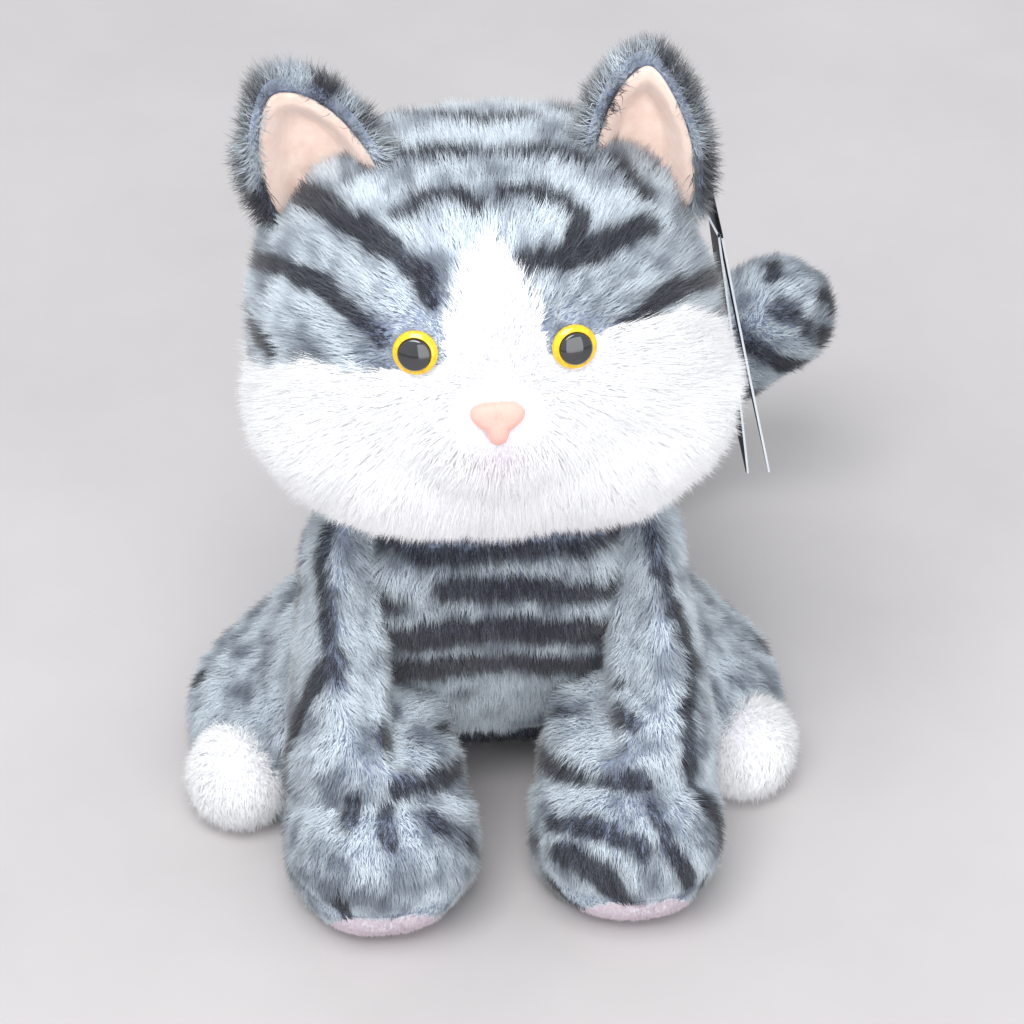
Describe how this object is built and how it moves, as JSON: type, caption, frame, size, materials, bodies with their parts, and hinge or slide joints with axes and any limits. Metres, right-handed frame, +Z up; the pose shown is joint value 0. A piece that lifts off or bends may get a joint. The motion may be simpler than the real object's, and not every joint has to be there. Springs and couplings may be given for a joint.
{
  "type": "plush cat",
  "caption": "Sitting plush tabby cat with a white face, safety eyes, flocked nose, felt-lined ears, sewn limbs and tail that flex at their seams, and a blank folded hang tag",
  "frame": {"origin": "middle of the flat base panel that the cat sits on", "axes": "+Z up, the cat faces -Y, its own left side is +X"},
  "size_m": [0.2045, 0.2259, 0.2475],
  "materials": {
    "tabby_plush": "blue-grey long pile plush with charcoal tabby stripes",
    "white_plush": "white long pile plush",
    "ear_felt": "matte peach short-pile felt",
    "pad_plush": "pinkish white short pile plush",
    "nose_flock": "matte flocking on moulded plastic",
    "iris": "glossy yellow plastic",
    "pupil": "glossy black plastic dome",
    "washer_plastic": "plain moulded plastic",
    "stuffing": "loose polyester fibre fill",
    "pellet_cloth": "plain woven cloth bag",
    "tag_card": "dark coated card with pale cut edges, blank",
    "tag_plastic": "translucent plastic loop"
  },
  "bodies": {
    "torso": {"back_panel_left": "tabby_plush", "back_panel_right": "tabby_plush", "base_panel": "tabby_plush", "chest_panel": "tabby_plush", "pellet_pouch": "pellet_cloth", "torso_stuffing": "stuffing"},
    "head": {"crown_panel": "tabby_plush", "eye_iris_left": "iris", "eye_iris_right": "iris", "eye_pupil_left": "pupil", "eye_pupil_right": "pupil", "eye_washer_left": "washer_plastic", "eye_washer_right": "washer_plastic", "face_panel": "white_plush", "head_back_left": "tabby_plush", "head_back_right": "tabby_plush", "head_stuffing": "stuffing", "nose": "nose_flock", "nose_washer": "washer_plastic", "tag_loop": "tag_plastic"},
    "ear_left": {"ear_back_left": "tabby_plush", "ear_lining_left": "ear_felt"},
    "ear_right": {"ear_back_right": "tabby_plush", "ear_lining_right": "ear_felt"},
    "foreleg_left": {"front_leg_left": "tabby_plush", "front_leg_stuffing_left": "stuffing", "front_paw_pad_left": "pad_plush"},
    "foreleg_right": {"front_leg_right": "tabby_plush", "front_leg_stuffing_right": "stuffing", "front_paw_pad_right": "pad_plush"},
    "hindleg_left": {"haunch_left": "tabby_plush", "haunch_stuffing_left": "stuffing", "hind_foot_left": "white_plush"},
    "hindleg_right": {"haunch_right": "tabby_plush", "haunch_stuffing_right": "stuffing", "hind_foot_right": "white_plush"},
    "tail": {"tail": "tabby_plush", "tail_stuffing": "stuffing"},
    "tag": {"tag_inner_leaf": "tag_card"},
    "tag_flap": {"tag_outer_leaf": "tag_card"}
  },
  "joints": [
    {"name": "head_turn", "type": "hinge", "parent": "torso", "child": "head", "pos_m": [0, -0.03, 0.118], "axis": [0, 0, 1], "range_deg": [-25, 25], "stiffness_Nm_per_rad": 0.15},
    {"name": "ear_left_flex", "type": "hinge", "parent": "head", "child": "ear_left", "pos_m": [0.041, -0.023, 0.2085], "axis": [0.8371, 0, -0.5471], "range_deg": [-9, 9], "stiffness_Nm_per_rad": 0.02},
    {"name": "ear_right_flex", "type": "hinge", "parent": "head", "child": "ear_right", "pos_m": [-0.041, -0.023, 0.2085], "axis": [-0.8371, 0, -0.5471], "range_deg": [-9, 9], "stiffness_Nm_per_rad": 0.02},
    {"name": "foreleg_left_swing", "type": "hinge", "parent": "torso", "child": "foreleg_left", "pos_m": [0.034, -0.036, 0.098], "axis": [-1, 0, 0], "range_deg": [0, 40], "stiffness_Nm_per_rad": 0.15},
    {"name": "foreleg_right_swing", "type": "hinge", "parent": "torso", "child": "foreleg_right", "pos_m": [-0.034, -0.036, 0.098], "axis": [-1, 0, 0], "range_deg": [0, 40], "stiffness_Nm_per_rad": 0.15},
    {"name": "hindleg_left_swing", "type": "hinge", "parent": "torso", "child": "hindleg_left", "pos_m": [0.034, -0.002, 0.022], "axis": [-1, 0, 0], "range_deg": [-3, 12], "stiffness_Nm_per_rad": 0.15},
    {"name": "hindleg_right_swing", "type": "hinge", "parent": "torso", "child": "hindleg_right", "pos_m": [-0.034, -0.002, 0.022], "axis": [-1, 0, 0], "range_deg": [-3, 12], "stiffness_Nm_per_rad": 0.15},
    {"name": "tail_wag", "type": "hinge", "parent": "torso", "child": "tail", "pos_m": [0, 0.0505, 0.022], "axis": [0, 0, 1], "range_deg": [-25, 25], "stiffness_Nm_per_rad": 0.05},
    {"name": "tag_swing", "type": "hinge", "parent": "head", "child": "tag", "pos_m": [0.0578, -0.01, 0.196], "axis": [0, -1, 0], "range_deg": [0, 15]},
    {"name": "tag_open", "type": "hinge", "parent": "tag", "child": "tag_flap", "pos_m": [0.0643, 0.003, 0.182], "axis": [0, -1, 0], "range_deg": [0, 50], "stiffness_Nm_per_rad": 0.002}
  ]
}
